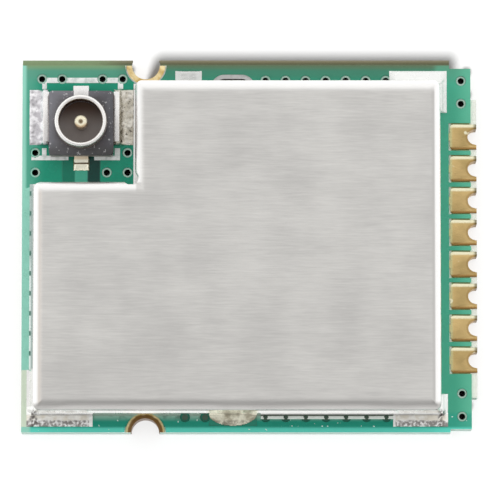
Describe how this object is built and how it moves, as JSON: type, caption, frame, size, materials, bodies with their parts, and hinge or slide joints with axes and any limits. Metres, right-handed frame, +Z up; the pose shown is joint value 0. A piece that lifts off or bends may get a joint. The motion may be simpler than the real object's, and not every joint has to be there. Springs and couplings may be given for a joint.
{
  "type": "wireless transceiver module",
  "caption": "Small castellated radio circuit board with a notched, folded metal shield can and a push-on coaxial antenna receptacle in the notch.",
  "frame": {"origin": "middle of the board's underside, on the plane of the solder pads", "axes": "+X towards the castellated edge, +Y towards the scored back edge beside the receptacle, +Z up out of the shield can"},
  "size_m": [0.018, 0.0149, 0.003],
  "materials": {
    "laminate": "matte glass laminate",
    "green_mask": "glossy green solder mask",
    "gold_finish": "satin gold finish over copper",
    "tinned_copper": "dull tinned copper",
    "solder": "bright to frosty solder",
    "shield_sheet": "fine brushed nickel silver sheet",
    "bright_contact": "bright plated contact",
    "black_moulding": "matte black moulding",
    "chip_moulding": "matte black chip moulding",
    "pale_ceramic": "pale fired ceramic",
    "tan_ceramic": "tan fired ceramic"
  },
  "bodies": {
    "root": {"board_laminate": "laminate", "solder_mask_top": "green_mask", "solder_mask_underside": "green_mask", "castellated_pad_1": "gold_finish", "castellated_pad_2": "gold_finish", "castellated_pad_3": "gold_finish", "castellated_pad_4": "gold_finish", "castellated_pad_5": "gold_finish", "castellated_pad_6": "gold_finish", "castellated_pad_7": "gold_finish", "castellated_pad_8": "gold_finish", "edge_terminal_back": "gold_finish", "edge_terminal_front": "gold_finish", "feed_line": "gold_finish", "connector_contact": "gold_finish", "ground_foil": "tinned_copper", "stitching_vias": "tinned_copper", "leg_slot_plating": "tinned_copper", "component_lands": "tinned_copper", "shield_solder": "solder", "connector_solder": "solder", "shield_can": "shield_sheet", "connector_shell": "bright_contact", "connector_base": "black_moulding", "transceiver_chip": "chip_moulding", "amplifier_chip": "chip_moulding", "resistors": "chip_moulding", "crystal": "pale_ceramic", "inductors": "pale_ceramic", "capacitors": "tan_ceramic"}
  },
  "joints": []
}
